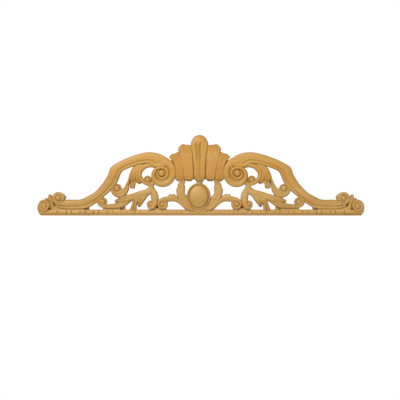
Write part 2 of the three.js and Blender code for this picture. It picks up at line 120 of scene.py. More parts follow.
# Cross-sections as (share across, share of the fall below the crest)
sections = {
    "plain": [(0, 0), (1, 0)],
    "rounded": [(0, 1.1), (0.03, 0.75), (0.1, 0.4), (0.24, 0.12), (0.5, 0), (0.76, 0.12), (0.9, 0.4),
                (0.97, 0.75), (1, 1.1)],
    "veined": [(0, 1.1), (0.03, 0.78), (0.1, 0.42), (0.2, 0.12), (0.32, 0.02), (0.42, 0.12), (0.5, 0.27),
               (0.58, 0.12), (0.68, 0.02), (0.8, 0.12), (0.9, 0.42), (0.97, 0.78), (1, 1.1)],
    "cleft": [(0, 1.2), (0.03, 0.86), (0.1, 0.46), (0.2, 0.1), (0.31, 0), (0.41, 0.26), (0.5, 0.8),
              (0.59, 0.26), (0.69, 0), (0.8, 0.1), (0.9, 0.46), (0.97, 0.86), (1, 1.2)],
    "beaded": [(0, 1.1), (0.02, 0.8), (0.07, 0.46), (0.15, 0.22), (0.28, 0.08), (0.45, 0), (0.57, 0.02),
               (0.64, 0.18), (0.69, 0.5), (0.73, 0.66), (0.77, 0.52), (0.82, 0.3), (0.88, 0.22),
               (0.94, 0.4), (0.98, 0.75), (1, 1.1)],
    "rolled": [(0, 1.1), (0.02, 0.7), (0.06, 0.32), (0.11, 0.2), (0.155, 0.36), (0.195, 0.36),
               (0.26, 0.12), (0.4, 0), (0.54, 0.05), (0.68, 0.22), (0.8, 0.5), (0.9, 0.84), (0.96, 1.06),
               (1, 1.15)],
    "softRolled": [(0, 1.1), (0.05, 0.82), (0.11, 0.54), (0.18, 0.32), (0.27, 0.13), (0.37, 0.02),
                   (0.46, 0), (0.56, 0.05), (0.67, 0.22), (0.78, 0.5), (0.88, 0.84), (0.95, 1.06),
                   (1, 1.15)],
    "domed": [(0, 1.1), (0.03, 0.78), (0.1, 0.46), (0.25, 0.14), (0.5, 0), (0.75, 0.14), (0.9, 0.46),
              (0.97, 0.78), (1, 1.1)],
    "middleFlutes": [(0, 1.1), (0.03, 0.8), (0.08, 0.5), (0.14, 0.26), (0.2, 0.3), (0.26, 0.2),
                     (0.34, 0.06), (0.41, 0.2), (0.46, 0.74), (0.51, 0.4), (0.575, 0.02), (0.64, 0.4),
                     (0.69, 0.74), (0.74, 0.2), (0.79, 0.08), (0.83, 0.14), (0.87, 0.26), (0.9, 0.32),
                     (0.94, 0.5), (0.98, 0.8), (1, 1.1)],
    "middleFaint": [(0, 0.7), (0.03, 0.48), (0.08, 0.26), (0.14, 0.14), (0.2, 0.16), (0.26, 0.08),
                    (0.34, 0.02), (0.41, 0.1), (0.46, 0.36), (0.51, 0.16), (0.575, 0), (0.64, 0.1),
                    (0.69, 0.28), (0.74, 0.08), (0.79, 0.04), (0.83, 0.08), (0.87, 0.14), (0.9, 0.16),
                    (0.94, 0.26), (0.98, 0.48), (1, 0.7)],
    "sideFaint": [(0, 0.8), (0.03, 0.54), (0.09, 0.27), (0.15, 0.18), (0.21, 0.3), (0.28, 0.15),
                  (0.35, 0.08), (0.42, 0.23), (0.49, 0.08), (0.55, 0.03), (0.62, 0.19), (0.69, 0.05),
                  (0.75, 0.06), (0.81, 0.18), (0.86, 0.13), (0.91, 0.19), (0.95, 0.32), (0.98, 0.54),
                  (1, 0.8)],
    "tilted": [(0, 1.2), (0.03, 0.96), (0.09, 0.74), (0.15, 0.62), (0.21, 0.7), (0.28, 0.5), (0.35, 0.38),
               (0.42, 0.52), (0.49, 0.32), (0.55, 0.22), (0.62, 0.36), (0.69, 0.14), (0.75, 0.1),
               (0.81, 0.24), (0.86, 0.1), (0.91, 0.1), (0.95, 0.14), (0.98, 0.24), (1, 0.4)],
    "sideFlutes": [(0, 1.1), (0.03, 0.78), (0.09, 0.36), (0.15, 0.26), (0.21, 0.52), (0.28, 0.24),
                   (0.35, 0.1), (0.42, 0.46), (0.49, 0.14), (0.55, 0.05), (0.62, 0.42), (0.69, 0.1),
                   (0.75, 0.1), (0.81, 0.44), (0.86, 0.24), (0.91, 0.36), (0.95, 0.56), (0.98, 0.84),
                   (1, 1.1)],
}
pointsAcross = {
    "plain": 2, "rounded": 13, "veined": 19, "cleft": 19, "beaded": 31, "rolled": 27, "softRolled": 27,
    "domed": 41, "middleFlutes": 41, "middleFaint": 41, "sideFlutes": 41, "sideFaint": 41, "tilted": 41,
}

forms = []  # every carved form as (vertices, faces), on the right-hand side or in the middle


def throughPoints(points, shares):  # a uniform Catmull-Rom curve, as the solid's
    points = np.array(points, float)
    ends = [2 * points[0] - points[1]], [2 * points[-1] - points[-2]]
    points = np.concatenate([ends[0], points, ends[1]])
    place = np.asarray(shares) * (len(points) - 3)
    low = np.clip(np.floor(place).astype(int), 0, len(points) - 4)
    t = (place - low)[:, None]
    before, start, end, after = (points[low + k] for k in range(4))
    bend = 2 * before - 5 * start + 4 * end - after
    return start + 0.5 * t * (end - before + t * (bend + t * (3 * (start - end) + after - before)))


def smoothValue(pairs, x):  # the value at x on a smooth line through (x, value) pairs
    places, values = np.array(pairs, float).T
    last = len(places) - 1
    ahead = np.minimum(np.arange(last + 1) + 1, last)
    back = np.maximum(np.arange(last + 1) - 1, 0)
    slopes = (values[ahead] - values[back]) / (places[ahead] - places[back])
    x = np.clip(x, places[0], places[-1])
    i = np.clip(np.searchsorted(places, x, side="right") - 1, 0, last - 1)
    run = places[i + 1] - places[i]
    t = (x - places[i]) / run
    rise = t * t * (3 - 2 * t)
    lean = slopes[i] * t * (1 - t) ** 2 - slopes[i + 1] * t * t * (1 - t)
    return values[i] + (values[i + 1] - values[i]) * rise + run * lean


def spread(values, shares):  # evenly spaced values, read at shares of the way along
    values = np.atleast_1d(np.array(values, float))
    return np.interp(shares, np.linspace(0, 1, len(values)), values)


def across(section, columns):  # a cross-section's points, closest where it bends most
    knots = np.array(sections[section], float)
    share = np.interp(np.linspace(0, len(knots) - 1, columns), np.arange(len(knots)), knots[:, 0])
    return np.stack([share, smoothValue(knots, share)], axis=-1)


def blended(along, shares):  # cross-sections that turn into one another along a band
    along = [along] if isinstance(along, str) else along
    columns = max(pointsAcross[one] for one in along)
    shapes = np.array([across(one, columns) for one in along])
    place = shares * (len(along) - 1)
    low = np.clip(np.floor(place).astype(int), 0, max(len(along) - 2, 0))
    mix = (place - low)[:, None, None]
    return shapes[low] * (1 - mix) + shapes[np.minimum(low + 1, len(along) - 1)] * mix


def onPaper(points):  # squares to metres
    return np.asarray(points, float) * square + np.array([0, railTop])


def band(a, b, crest, drop, profile):  # a closed solid between the lines a and b
    rows = len(a)
    profile = np.broadcast_to(profile, (rows,) + profile.shape[-2:])
    columns = profile.shape[1]
    spot = a[:, None] + (b - a)[:, None] * profile[..., :1]
    height = np.broadcast_to(crest, rows)[:, None] - profile[..., 1] * np.broadcast_to(drop, rows)[:, None]
    front = np.stack([spot[..., 0], -height, spot[..., 1]], axis=-1).reshape(-1, 3)
    rear = np.stack([a, b], axis=1)
    rear = np.stack([rear[..., 0], np.full((rows, 2), behind), rear[..., 1]], axis=-1).reshape(-1, 3)
    rearStart = rows * columns
    faces = []
    for row in range(rows - 1):
        here, there = row * columns, (row + 1) * columns
        for column in range(columns - 1):
            faces.append((here + column, here + column + 1, there + column + 1, there + column))
        rearHere, rearThere = rearStart + 2 * row, rearStart + 2 * row + 2
        faces.append((rearHere, rearThere, rearThere + 1, rearHere + 1))
        faces.append((here, there, rearThere, rearHere))
        faces.append((here + columns - 1, rearHere + 1, rearThere + 1, there + columns - 1))
    last = (rows - 1) * columns
    faces.append((*range(columns), rearStart + 1, rearStart))
    rearLast = rearStart + 2 * rows - 2
    faces.append((*range(last + columns - 1, last - 1, -1), rearLast, rearLast + 1))
    forms.append((np.concatenate([front, rear]), faces))


strands = {  # lengths in squares
    "rowStep": 0.62,
    "leastHalf": 0.15,  # of a strand's width
    "leastTip": 0.3,  # the shortest that a rounded tip is
    "sharpest": 0.04,  # the half width left at the very end
    "tipRows": 6,
    "roundTip": 2,  # how square the tips are: two is an ellipse
    "bluntTip": 5,
    "tipFall": 0.5,  # share of the fall that a tip comes down
    "readings": 40,  # for each spine point, to measure the length by
    "nudge": 1e-3,  # share of the spine, either way, that a heading is read over
}


def alongSpine(spine):
    # stations: their share of the curve, point, half width, heading and distance to the end
    shares = np.linspace(0, 1, strands["readings"] * len(spine))
    points = throughPoints(spine, shares)
    steps = np.hypot(*np.diff(points[:, :2], axis=0).T)
    length = np.concatenate([[0], np.cumsum(steps)])
    tip = max(points[-1, 2], strands["leastTip"])
    rows = max(int(length[-1] / strands["rowStep"]), 3)
    even = np.linspace(0, max(length[-1] - tip, strands["rowStep"]), rows)
    turn = np.linspace(0, math.pi / 2, strands["tipRows"] + 1)[1:]
    stops = np.concatenate([even, even[-1] + (length[-1] - even[-1]) * np.sin(turn)])
    shares = np.interp(stops, length, shares)
    points = throughPoints(spine, shares)
    after = throughPoints(spine, shares + strands["nudge"])[:, :2]
    before = throughPoints(spine, shares - strands["nudge"])[:, :2]
    heading = after - before
    heading /= np.linalg.norm(heading, axis=1)[:, None]
    return shares, points[:, :2], points[:, 2], heading, length[-1] - stops


def strand(spine, crest, section="veined", tip="cut"):
    # a band along a spine of (x, z, half width) points; its tip is cut, round or blunt
    shares, spot, half, heading, left = alongSpine(spine)
    half = np.maximum(half, strands["leastHalf"])
    high = spread(crest, shares)
    if tip != "cut":
        reach = max(spine[-1][2], strands["leastTip"])
        inside = np.clip(left / reach, 0, 1)
        power = strands[tip + "Tip"]
        half = np.maximum(half * (1 - (1 - inside) ** power) ** (1 / power), strands["sharpest"])
        high = high - strands["tipFall"] * fall["leaf"] * (1 - inside) ** power
    sideways = np.stack([-heading[:, 1], heading[:, 0]], axis=-1) * half[:, None]
    drop = np.minimum(fall["leaf"], half * square)
    band(onPaper(spot + sideways), onPaper(spot - sideways), high, drop, blended(section, shares))


def between(edges, crest, drop, along, rows):  # a band between two edges, (x, z, x, z)
    shares = np.linspace(0, 1, rows)
    edges = throughPoints(edges, shares)
    band(onPaper(edges[:, :2]), onPaper(edges[:, 2:]), spread(crest, shares), drop, blended(along, shares))


scrolls = {
    "rowTurn": 4,  # degrees between two rows
    "pieceTurn": 345,  # a longer scroll is cut as more than one band
    "overlap": 0.3,  # squares that a turn reaches into the next one
}


def scroll(eye, outer, start, end, crest, drop, section, inner=None):
    # a band that winds round an eye; angles are degrees from straight up, towards the middle
    pieces = math.ceil((end - start) / scrolls["pieceTurn"])
    for piece in range(pieces):
        low = start + (end - start) * piece / pieces
        high = start + (end - start) * (piece + 1) / pieces
        degrees = np.linspace(low, high, int((high - low) / scrolls["rowTurn"]) + 1)
        angle = np.radians(degrees)
        ray = np.stack([-np.sin(angle), np.cos(angle)], axis=-1)
        outside = smoothValue(outer, degrees)
        if inner:
            inside = smoothValue(inner, degrees)
        else:
            inside = smoothValue(outer, degrees + 360) - scrolls["overlap"]
        shares = (degrees - start) / (end - start)
        a, b = onPaper(eye + ray * outside[:, None]), onPaper(eye + ray * inside[:, None])
        band(a, b, spread(crest, shares), spread(drop, shares), blended(section, shares))


buttons = {"ballSides": 32, "ballRings": 9, "bossSides": 96, "bossRings": 16, "bossStart": 0.02}


def turned(middle, profile, sides, width=1, height=1):
    # a round or oval button from (radius, height) points
    angle = np.linspace(0, 2 * math.pi, sides, endpoint=False)
    ring = np.stack([np.cos(angle) * width, np.zeros(sides), np.sin(angle) * height], axis=-1)
    rings = [ring * radius - np.array([0, high, 0]) for radius, high in profile[:-1]]
    top = np.array([[0, -profile[-1][1], 0]])
    vertices = np.concatenate(rings + [top]) + np.array([middle[0], 0, middle[1]])
    faces = [tuple(range(sides))]
    for ringIndex in range(len(rings) - 1):
        for side in range(sides):
            a, b = ringIndex * sides + side, ringIndex * sides + (side + 1) % sides
            faces.append((a, b, b + sides, a + sides))
    lastRing = (len(rings) - 1) * sides
    for side in range(sides):
        faces.append((lastRing + side, lastRing + (side + 1) % sides, lastRing + sides))
    forms.append((vertices, faces))


def ball(eye, radius, crest, ground):  # a domed button on a patch of the ground left under it
    size, patch = radius * square, ground * square
    foot = [(patch, -behind), (patch, depth["eyeGround"]), (size, depth["eyeGround"])]
    dome = []
    for t in np.linspace(0, math.pi / 2, buttons["ballRings"]):
        dome.append((size * math.cos(t), crest - fall["ball"] * (1 - math.sin(t))))
    turned(onPaper(eye), foot + dome, buttons["ballSides"])


def web(low, high, thick, rows=12, columns=6):  # a plain bit of the board between two forms
    x = np.linspace(low[0], high[0], rows)
    a = onPaper(np.stack([x, np.full_like(x, low[1])], axis=-1))
    b = onPaper(np.stack([x, np.full_like(x, high[1])], axis=-1))
    band(a, b, thick, 0, across("plain", columns))


# The S-scroll arm, its volute and the curl at its outer end
voluteEye = (37.9, 36.4)
voluteOuter = [(-335, 16), (-275, 14.4), (-185, 14), (-150, 13.2), (-105, 11), (-70, 9.3), (0, 7.3),
               (60, 8), (145, 7.4), (223, 6.9), (312, 4.3), (364, 3.6), (440, 4), (530, 3.4), (700, 3)]
armEdges = [
    (146.6, 10.6, 147.6, 8.4), (144.4, 8.2, 145.4, 4.4), (140.6, 8.2, 141.6, 2.4), (134.5, 9.8, 136, 0.6),
    (121, 10.1, 124, 0.5), (114, 13.1, 113.2, 1.8), (107.5, 16.6, 103, 8.2), (102, 21.8, 96.3, 13.8),
    (97.6, 27.2, 90.4, 19.2), (93.2, 34.5, 84.4, 26.6), (91.2, 40.2, 80.6, 35.6), (89.2, 43.2, 78.2, 38.8),
    (80.8, 48.3, 73.2, 41.2), (70.5, 52.7, 66, 43.7), (60.2, 55.9, 58, 45.6), (49.9, 57.4, 50.4, 45.8),
    (39.6, 55.5, 45.4, 42.4), (31.1, 50.9, 36, 41.6),
]


def carveArm():
    crest = [13 * mm, 14 * mm, 14.5 * mm, 16 * mm] + 3 * [depth["arm"]] + [depth["volute"]]
    between(armEdges, crest, fall["arm"], 17 * ["beaded"] + ["rolled"], rows=200)
    crest = [depth["volute"], depth["volute"], 17.4 * mm, 16.8 * mm, 16.4 * mm, 16.6 * mm]
    drop = [fall["arm"], fall["arm"], fall["arm"], fall["arm"], 0.8 * fall["arm"], 0.3 * fall["arm"]]
    scroll(voluteEye, voluteOuter, -341, 320, crest, drop, ["rolled"] + 3 * ["softRolled"])
    ball(voluteEye, 3.1, depth["eye"], 5)
    eye = (143, 11.6)
    outer = [(-213, 12.7), (-173, 8.6), (-147, 6.5), (-112, 5.4), (-30, 4.9), (22, 5.3), (53, 6.4),
             (85, 7.7), (110, 6.5)]
    inner = [(-213, 9.2), (-173, 6.2), (-147, 4.4), (-112, 3.4), (-30, 2.8), (110, 2.6)]
    crest = [14 * mm, 14.5 * mm, depth["endScroll"], 14 * mm]
    scroll(eye, outer, -213, 110, crest, fall["arm"], "rounded", inner)
    ball(eye, 2.8, depth["ball"], 6)
    web((112, -1), (118, 2.6), depth["web"])
    web((117, -1), (150, 3.4), depth["seat"])


def carveEnd():  # the small scroll that closes the rail, and the tuft behind it
    eye = (157, 3.1)
    outer = [(-158, 9.4), (-110, 7.1), (-60, 6.3), (0, 6.9), (60, 6.6), (107, 5.2), (160, 4.2), (250, 3)]
    inner = [(-158, 4.4), (0, 4.3), (60, 4), (107, 2.2), (250, 1.6)]
    crest = [depth["rail"], depth["endScroll"], depth["endScroll"], 14 * mm]
    scroll(eye, outer, -158, 250, crest, fall["coil"], "rounded", inner)
    ball(eye, 2.5, depth["endEye"], 5)
    strand([(149, 1.5, 2.4), (149.6, 7, 2.2), (151, 12, 2.1), (151.8, 15.2, 1)],
           [12 * mm, 14 * mm, 13.5 * mm, 12 * mm], tip="round")
    strand([(149.6, 5, 1.6), (152.4, 9.4, 1.6), (156, 10.8, 0.8)], [12 * mm, 13.5 * mm, 12 * mm],
           tip="round")
    web((142, -1), (157, 8), depth["web"])


def carveUpperSpray():  # from the volute, under the arch
    leaf, stem, ground = depth["leaf"], depth["stem"], depth["ground"]
    budding = ["rounded", "veined", "cleft"]
    strand([(41.5, 42.4, 1.6), (45.2, 43.7, 1.9), (50, 44.5, 2.2), (55.2, 43.4, 2.5), (59.4, 39.8, 2.6),
            (60.7, 35.4, 2.1), (59.2, 31.4, 1.8), (56.6, 28, 2), (53, 26, 1.9), (49.2, 25, 1.7)],
           [stem, leaf, leaf, leaf, stem], section="rounded")
    strand([(60.6, 45.2, 2.2), (65.9, 40.9, 2.3), (69.6, 35.4, 1.5), (71.8, 29.4, 1.1), (73.4, 24.6, 1.7),
            (75, 20, 2.9), (79.2, 16, 4), (84, 15.4, 3), (87.6, 17.8, 2.2), (88.4, 21.6, 1.6),
            (86.4, 25, 1.3)], [stem, leaf, leaf, leaf, 15 * mm])
    strand([(64.4, 43.6, 2), (66.4, 37.6, 2.9), (67.6, 31.8, 3.5), (67.6, 27.2, 2)],
           [stem, leaf, leaf, 14.5 * mm], section=budding, tip="round")
    strand([(67.2, 33, 2.4), (68, 27, 3), (68.5, 21, 2.6)], [12.5 * mm, 13.5 * mm, 12.5 * mm], tip="blunt")
    strand([(60.6, 44.6, 2.2), (62.2, 38.4, 2.9), (62, 31.6, 3.1), (60.2, 25.6, 2.4)],
           [stem, 14.5 * mm, leaf, 13.5 * mm], section=budding, tip="round")
    strand([(57, 45, 2), (61.5, 42.4, 3.2), (64.4, 38, 3), (65, 34.4, 2)],
           [14 * mm, 14.7 * mm, 14.5 * mm, 13 * mm], section="rounded", tip="round")
    strand([(36.5, 42.6, 2.6), (45, 45.4, 2.4), (52, 46, 2.4), (60, 44, 3.4), (65.4, 36, 4.6),
            (66, 30, 4.4), (66, 26.6, 2)], [ground], section="plain")
    strand([(45, 30, 3), (49.6, 27.4, 3), (54, 27.6, 2)], [ground], section="plain")
    ball((84, 21.4), 3.1, depth["curl"], 4.4)
    ball((52.2, 29.8), 2.8, depth["curl"], 4.2)


def carveLowerSpray():  # from the foot of the volute, along the rail
    leaf, stem = depth["leaf"], depth["stem"]
    budding = ["rounded", "veined", "cleft"]
    strand([(45.6, 28, 2.6), (48.4, 24.6, 2.4), (48, 20.5, 2.8), (45.8, 16, 3.5), (44.9, 11.4, 3.8),
            (45, 6.6, 3.2), (46.6, 2.8, 2.4), (49.6, 1.6, 1.7), (52, 3.6, 1), (52, 6.6, 0.8),
            (49.8, 8, 0.8)], [15 * mm, stem, leaf, leaf, stem], section="rounded")
    strand([(48.6, 21.6, 2.8), (53, 17, 3.5), (60.2, 15.2, 3.4), (67.4, 12.8, 3.3), (74.7, 10.8, 3.5),
            (80.8, 9.3, 2.9), (86.4, 8, 1.2)], [stem, leaf, leaf, leaf, 12.5 * mm],
           section=["rounded", "rounded", "veined", "veined"], tip="round")
    strand([(53.4, 16.6, 2.6), (57.6, 11, 3), (60.4, 6.8, 2.7), (61.4, 2.4, 1.5)],
           [stem, leaf, stem, 12.5 * mm], section=budding, tip="round")
    strand([(60, 13.6, 2.8), (64.2, 9.6, 3.1), (66.3, 5, 2.6), (67.4, -1, 3.7)],
           [stem, leaf, stem, 13 * mm], section=budding)
    strand([(52.4, 17.6, 2.2), (57.5, 14.2, 3.5), (62.4, 12.4, 3.2), (68, 12, 2)],
           [14 * mm, 14.9 * mm, 14.9 * mm, 13.5 * mm], section="rounded", tip="round")
    strand([(67, 12.4, 2), (72.6, 9.2, 2.8), (78.8, 5.4, 3.2), (85, 3.8, 2.7), (92, 3.2, 2.2),
            (97.6, 3.5, 2), (101.4, 5.4, 1.8), (102.4, 8.6, 1.6), (99.8, 11.2, 1.5)],
           [13 * mm, leaf, 14.5 * mm, 14.5 * mm])
    web((75.6, -1), (82, 3), depth["web"])
    web((80.6, -1), (98.6, 3), depth["seat"])
    ball((49.4, 5.4), 2.4, depth["curl"], 3.8)
    ball((98.6, 7.6), 3.1, depth["curl"], 4.6)


def carveInnerSpray():  # the C-scroll from the boss, and the leaf up to the shell
    leaf, stem = depth["leaf"], depth["stem"]
    edges = [
        (16, 5.6, 13.8, -0.6), (19.4, 9.6, 18, 3.6), (22.8, 13.4, 21.6, 6.5), (26, 15.8, 25.2, 8),
        (27.9, 15, 27.1, 8.1), (30.2, 15.7, 28.9, 8), (31.4, 13.5, 30.8, 7.8), (35.2, 12.7, 33.6, 7.7),
        (38.8, 11.3, 36.6, 8.2), (41.6, 8.8, 39, 7.2),
        (42.4, 5, 39.8, 4.9), (40.6, 1.4, 38.6, 3), (37, 0.2, 36.8, 2.6), (33.4, 1, 35, 3.6),
        (31.8, 4.2, 34.6, 5.4), (32, 8.2, 35.4, 7.4),
    ]
    between(edges, [stem, leaf, leaf, leaf, 14.5 * mm], fall["leaf"], "rounded", rows=150)
    strand([(16.4, 32, 2.8), (17.1, 26.9, 2.3), (18.1, 25.1, 3.5), (18.4, 21, 3.9), (18.9, 19.2, 4.5),
            (18.7, 15.4, 4.1), (16.5, 10.4, 5), (13.7, 5.6, 4.4), (10.2, 1.8, 3), (6.6, -0.6, 1.6)],
           [15 * mm, stem, leaf, leaf, leaf, stem])
    web((40, -1), (46.4, 7.4), depth["web"])
    web((33.4, -1), (47, 1.4), depth["seat"])
    strand([(14, 13.4, 2), (12.4, 7.6, 3.4), (8.6, 3, 3.4), (-1, 0, 2.6)], [depth["shellGround"]],
           section="plain")
    ball((37.2, 5.3), 2.5, depth["ball"], 4.4)


def carveSideLobes():  # edges as (x, z) outside and (x, z) inside, from the neck up
    nextLobe = [
        (12.6, 28.2, 8.4, 28.4), (15, 30.4, 6.2, 30.6), (16, 33.6, 5.8, 33.6), (16.8, 40, 6, 40),
        (18.6, 49, 6.4, 49), (20.6, 56, 6.9, 56), (21.5, 60, 7.6, 61.4), (20.4, 62.6, 8.2, 63.6),
        (18.6, 64.6, 10.6, 64.7), (16.4, 65.6, 13.2, 64.6),
    ]
    top = depth["middleLobe"]
    crest = [12.2 * mm, 17.6 * mm, 18.9 * mm, top, top, top, 19 * mm, 18.2 * mm, 16.6 * mm, 14.5 * mm]
    flutes = ["domed"] + 4 * ["sideFaint"] + 3 * ["sideFlutes"] + ["domed"]
    between(nextLobe, crest, fall["lobe"], flutes, rows=110)
    outerLobe = [
        (22, 28.2, 18, 28.2), (24.4, 30.6, 16, 30.4), (25, 34, 15.8, 34), (24.6, 40, 16.6, 40),
        (26, 46, 18, 49), (29, 50.6, 19.6, 55.4), (30.4, 52.6, 21, 57.6), (29, 54.6, 23.4, 56.8),
        (27.2, 55.8, 25.4, 56.2),
    ]
    top = depth["outerLobe"]
    crest = [11.4 * mm, 16.4 * mm, 17.6 * mm, top, top, top, 17 * mm, 15.5 * mm, 13.5 * mm]
    flutes = ["domed"] + 4 * ["tilted"] + 3 * ["sideFlutes"] + ["domed"]
    between(outerLobe, crest, fall["lobe"], flutes, rows=100)
    ground = [(24, 30.4, 0, 30.4), (28, 43, 0, 43), (28, 50, 0, 50), (20, 58, 0, 62)]
    between(ground, [depth["shellGround"]], 0, ["plain"], rows=12)


# The boss, its ring and the middle lobe of the shell
bossSizes = {
    "width": 35 * mm,
    "height": 42.6 * mm,
    "ringSide": 4.5 * mm,
    "ringEnd": 3 * mm,
    "ringFloor": 13 * mm,
    "sill": 0.5 * mm,  # the small step where the dome starts
    "domeCurve": (0.85, 1.15),  # powers of its radius and its height: an ellipse has 1 and 1
    "aside": 1.6 * mm,  # carved this much left of the shell's middle
}
bossMiddle = railTop + bossSizes["height"] / 2 + bossSizes["ringEnd"]


def carveMiddleLobe():
    neckFoot = (bossMiddle - railTop) / square
    halves = [(neckFoot, 3), (26.6, 3), (30, 4.8), (34, 5.7), (45, 6.2), (54, 7.2), (61, 8.5), (66, 8.8),
              (69.6, 7.4), (72.2, 5.8), (73.8, 3.4), (paper["crestSquares"], 0.8)]
    top = depth["shell"]
    crest = [12 * mm, 13.4 * mm, 17.6 * mm, 20 * mm, top, top, top, 20.7 * mm, 19.9 * mm, 18.6 * mm,
             16.8 * mm, 15 * mm]
    flutes = 3 * ["domed"] + 3 * ["middleFaint"] + 3 * ["middleFlutes"] + 5 * ["domed"]
    between([(half, z, -half, z) for z, half in halves], crest, fall["lobe"], flutes, rows=130)


def carveBoss():
    width, height = bossSizes["width"], bossSizes["height"]
    ringWidth, ringHeight = width + 2 * bossSizes["ringSide"], height + 2 * bossSizes["ringEnd"]
    middle = np.array([-bossSizes["aside"], bossMiddle])
    ring, floor, top = depth["ring"], bossSizes["ringFloor"], depth["boss"]
    moulding = [(1, -behind), (1, ring - 2.2 * mm), (0.99, ring - 1.1 * mm), (0.97, ring - 0.3 * mm),
                (0.945, ring), (0.915, ring - 0.1 * mm), (0.885, ring - 0.7 * mm),
                (0.865, ring - 1.6 * mm), (0.85, floor), (0, floor)]
    turned(middle, moulding, buttons["bossSides"], ringWidth / 2, ringHeight / 2)
    sill = bossSizes["sill"]
    rise = top - floor - sill
    wide, tall = bossSizes["domeCurve"]
    dome = []
    for t in np.linspace(buttons["bossStart"], math.pi / 2, buttons["bossRings"]):
        dome.append((math.cos(t) ** wide, floor + sill + rise * math.sin(t) ** tall))
    dome[-1] = (0, top)
    turned(middle, [(1, -behind), (1, floor)] + dome, buttons["bossSides"], width / 2, height / 2)


# The straight rail: a lower fillet, a groove, the bead cut into tablets, and a chamfer
railSizes = {
    "halfSquares": 160,
    "beadedSquares": 146,
    "beadHeight": 6.8 * mm,
    "beadGroove": 1 * mm,
    "chamfer": 1.2 * mm,
    "notchPeriod": 25.3 * mm,
    "shortTablet": 9.2 * mm,
    "firstNotch": 9.9 * mm,
    "plainMiddle": 8.9 * mm,  # no cut is nearer the rail's middle
    "notchWidth": 2.6 * mm,
    "notchCut": 1.8 * mm,
    "middleCut": 0.45,  # share of the full cut that is left in the middle
    "fullCutSquares": 90,  # this far out it is full
    "columnStep": 0.7 * mm,
    "beadRows": 11,
}


def carveRail():
    high, deep, bead = paper["railHeight"], depth["rail"], railSizes["beadHeight"]
    chamfer, groove = railSizes["chamfer"], railSizes["beadGroove"]
    beadFoot = high - chamfer - bead
    # height on the rail, millimetres below its crest, share of the cuts
    lines = [(0, 1.4, 0), (0.7 * mm, 0.7, 0), (beadFoot - groove, 0.7, 0),
             (beadFoot - groove * 0.6, 1.9, 0), (beadFoot - groove * 0.3, 1.9, 0), (beadFoot, 1, 0.2)]
    for share in np.linspace(0, 1, railSizes["beadRows"])[1:-1]:
        drop = 1 - math.sin(math.pi * share) ** 0.7
        lines.append((beadFoot + bead * share, drop, min(1, 6 * min(share, 1 - share))))
    lines += [(high - chamfer, 1, 0.2), (high - chamfer * 0.5, 1.4, 0), (high, 1 + chamfer / mm, 0)]
    levels, drops, cut = np.array(lines).T
    half = railSizes["halfSquares"] * square
    x = np.linspace(-half, half, int(2 * half / railSizes["columnStep"]))
    out = np.abs(x)
    period, short = railSizes["notchPeriod"], railSizes["shortTablet"]
    phase = np.mod(out - railSizes["firstNotch"], period)
    nearest = np.minimum(np.minimum(phase, period - phase), np.abs(phase - short))
    vee = np.clip(1 - nearest / (railSizes["notchWidth"] / 2), 0, 1)
    vee *= (out < railSizes["beadedSquares"] * square) & (out > railSizes["plainMiddle"])
    weakest = railSizes["middleCut"]
    vee *= weakest + (1 - weakest) * np.clip(out / square / railSizes["fullCutSquares"], 0, 1)
    drops = drops + np.outer(vee, cut) * railSizes["notchCut"] / mm
    profile = np.stack(np.broadcast_arrays(levels / high, drops), axis=-1)
    a = np.stack([x, np.full_like(x, railTop - high)], axis=-1)
    b = np.stack([x, np.full_like(x, railTop)], axis=-1)
    band(a, b, deep, 1 * mm, profile)


# Where the carver's setting out was not quite even
byHand = {
    "middleAside": 2.5 * mm,  # the middle stands this much left of the rail's
    "left": (40, 85),  # from and to, in squares out from the middle, where the arms make it up
    "right": (60, 115),
}


def setOutByHand(points):
    out = np.where(points[:, :1] < 0, [byHand["left"]], [byHand["right"]])
    share = np.clip((np.abs(points[:, 0]) / square - out[:, 0]) / (out[:, 1] - out[:, 0]), 0, 1)
    share = share * share * (3 - 2 * share)
    moved = points.copy()
    moved[:, 0] -= byHand["middleAside"] * (1 - share)
    return moved


workbench = bpy.data.collections.new("workbench")
bpy.context.scene.collection.children.link(workbench)


def formObject(points, faces, name):
    mesh = bpy.data.meshes.new(name)
    mesh.from_pydata(points.tolist(), [], faces)
    edit = bmesh.new()
    edit.from_mesh(mesh)
    bmesh.ops.recalc_face_normals(edit, faces=edit.faces)
    edit.to_mesh(mesh)
    edit.free()
    form = bpy.data.objects.new(name, mesh)
    workbench.objects.link(form)
    return form


for carve in (carveArm, carveEnd, carveUpperSpray, carveLowerSpray, carveInnerSpray, carveSideLobes):
    carve()
sideForms = list(forms)
forms.clear()
carveMiddleLobe()
carveBoss()
middleForms = list(forms)
forms.clear()
carveRail()
railForm = forms.pop()
print("drawn", len(sideForms), "forms a side")

for number, (points, faces) in enumerate(sideForms):
    formObject(setOutByHand(points), faces, f"right{number}")
    formObject(setOutByHand(points * np.array([-1, 1, 1])), faces, f"left{number}")
for number, (points, faces) in enumerate(middleForms):
    formObject(setOutByHand(points), faces, f"middle{number}")

board = formObject(*railForm, "carvedBoard")
workbench.objects.unlink(board)
bpy.context.scene.collection.objects.link(board)
join = board.modifiers.new("join", "BOOLEAN")
join.operation = "UNION"
join.solver = "MANIFOLD"
join.operand_type = "COLLECTION"
join.collection = workbench

